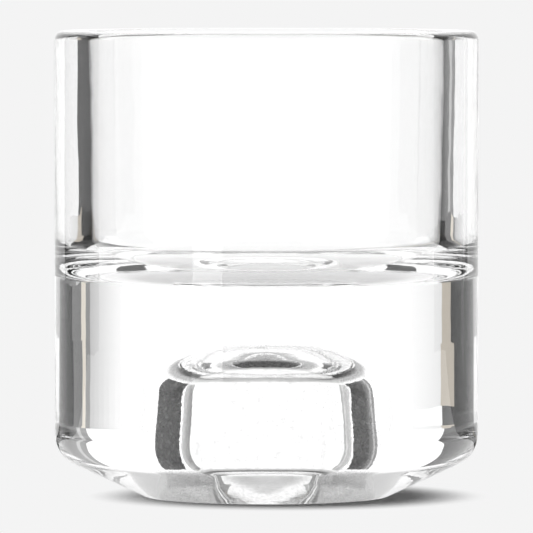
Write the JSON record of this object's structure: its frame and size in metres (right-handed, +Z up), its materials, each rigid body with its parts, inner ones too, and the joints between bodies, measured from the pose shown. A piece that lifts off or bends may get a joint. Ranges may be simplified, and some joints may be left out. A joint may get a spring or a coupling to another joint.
{
  "type": "reversible candle holder",
  "caption": "Clear pressed-glass holder: tealight cup in the top, taper-candle socket in the bevelled foot.",
  "frame": {"origin": "centre of the underside of the foot, on the plane the holder stands on", "axes": "+Z up along the axis of the cup and socket; the holder is round, so +X and +Y are free"},
  "size_m": [0.06, 0.06, 0.0659],
  "materials": {
    "clear_glass": "clear, fire-polished, slightly wavy in the pressed cup and socket"
  },
  "bodies": {
    "root": {"glass_body": "clear_glass"}
  },
  "joints": []
}
